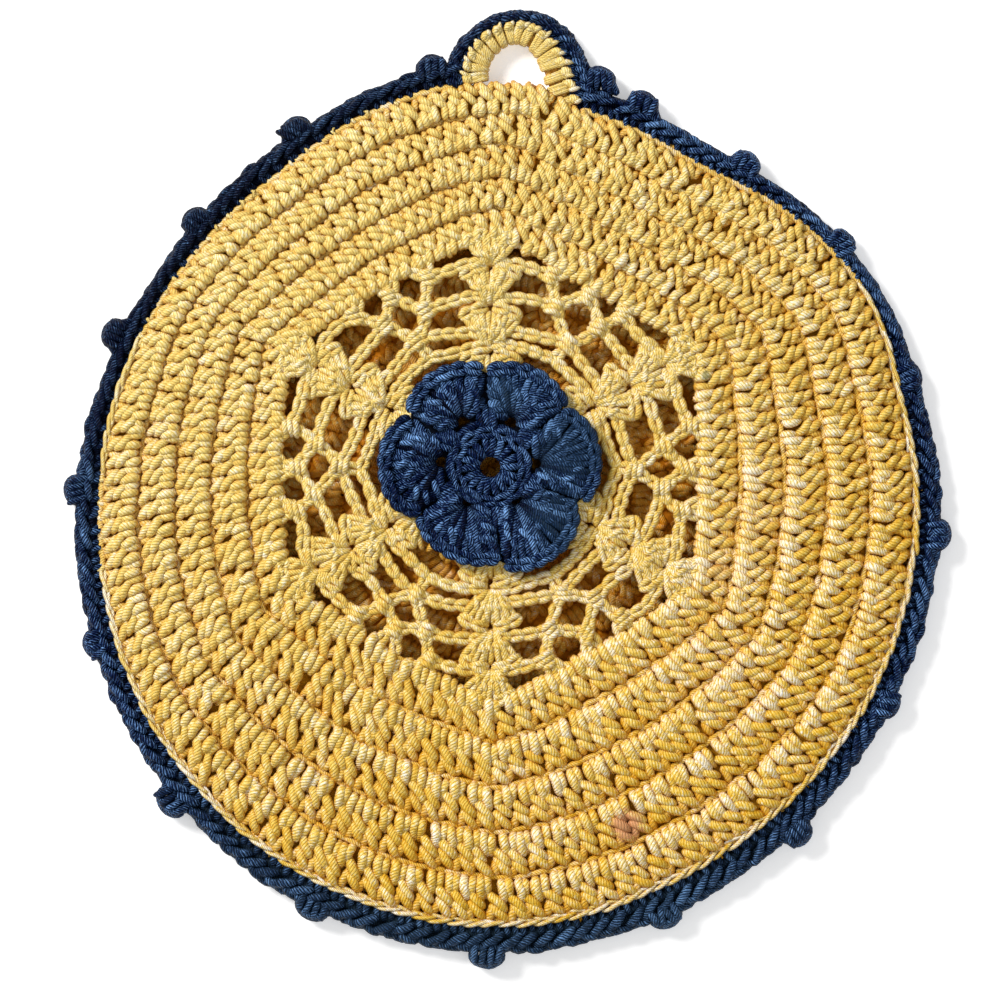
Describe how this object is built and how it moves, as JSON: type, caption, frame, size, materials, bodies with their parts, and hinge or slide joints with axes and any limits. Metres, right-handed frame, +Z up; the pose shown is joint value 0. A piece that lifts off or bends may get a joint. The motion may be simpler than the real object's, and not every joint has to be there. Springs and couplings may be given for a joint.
{
  "type": "crocheted pot holder",
  "caption": "Round double-layer crocheted pot holder with a lace window, a flower at its centre, a picot border and a loop to hang it by.",
  "frame": {"origin": "centre of the disc on the underside of the back panel, which lies on the table", "axes": "+Z up out of the front face, +Y towards the hanging loop, +X to the right seen from the front"},
  "size_m": [0.1858, 0.2008, 0.0092],
  "materials": {
    "yellow_cotton": "twisted mercerised cotton yarn in double crochet, soft sheen, orange-brown in the crevices",
    "blue_cotton": "twisted cotton yarn, navy to denim blue, slightly faded on the high strands"
  },
  "bodies": {
    "root": {"back_panel": "yellow_cotton", "front_panel": "yellow_cotton", "hanging_loop": "yellow_cotton", "edging": "blue_cotton", "flower": "blue_cotton"}
  },
  "joints": []
}
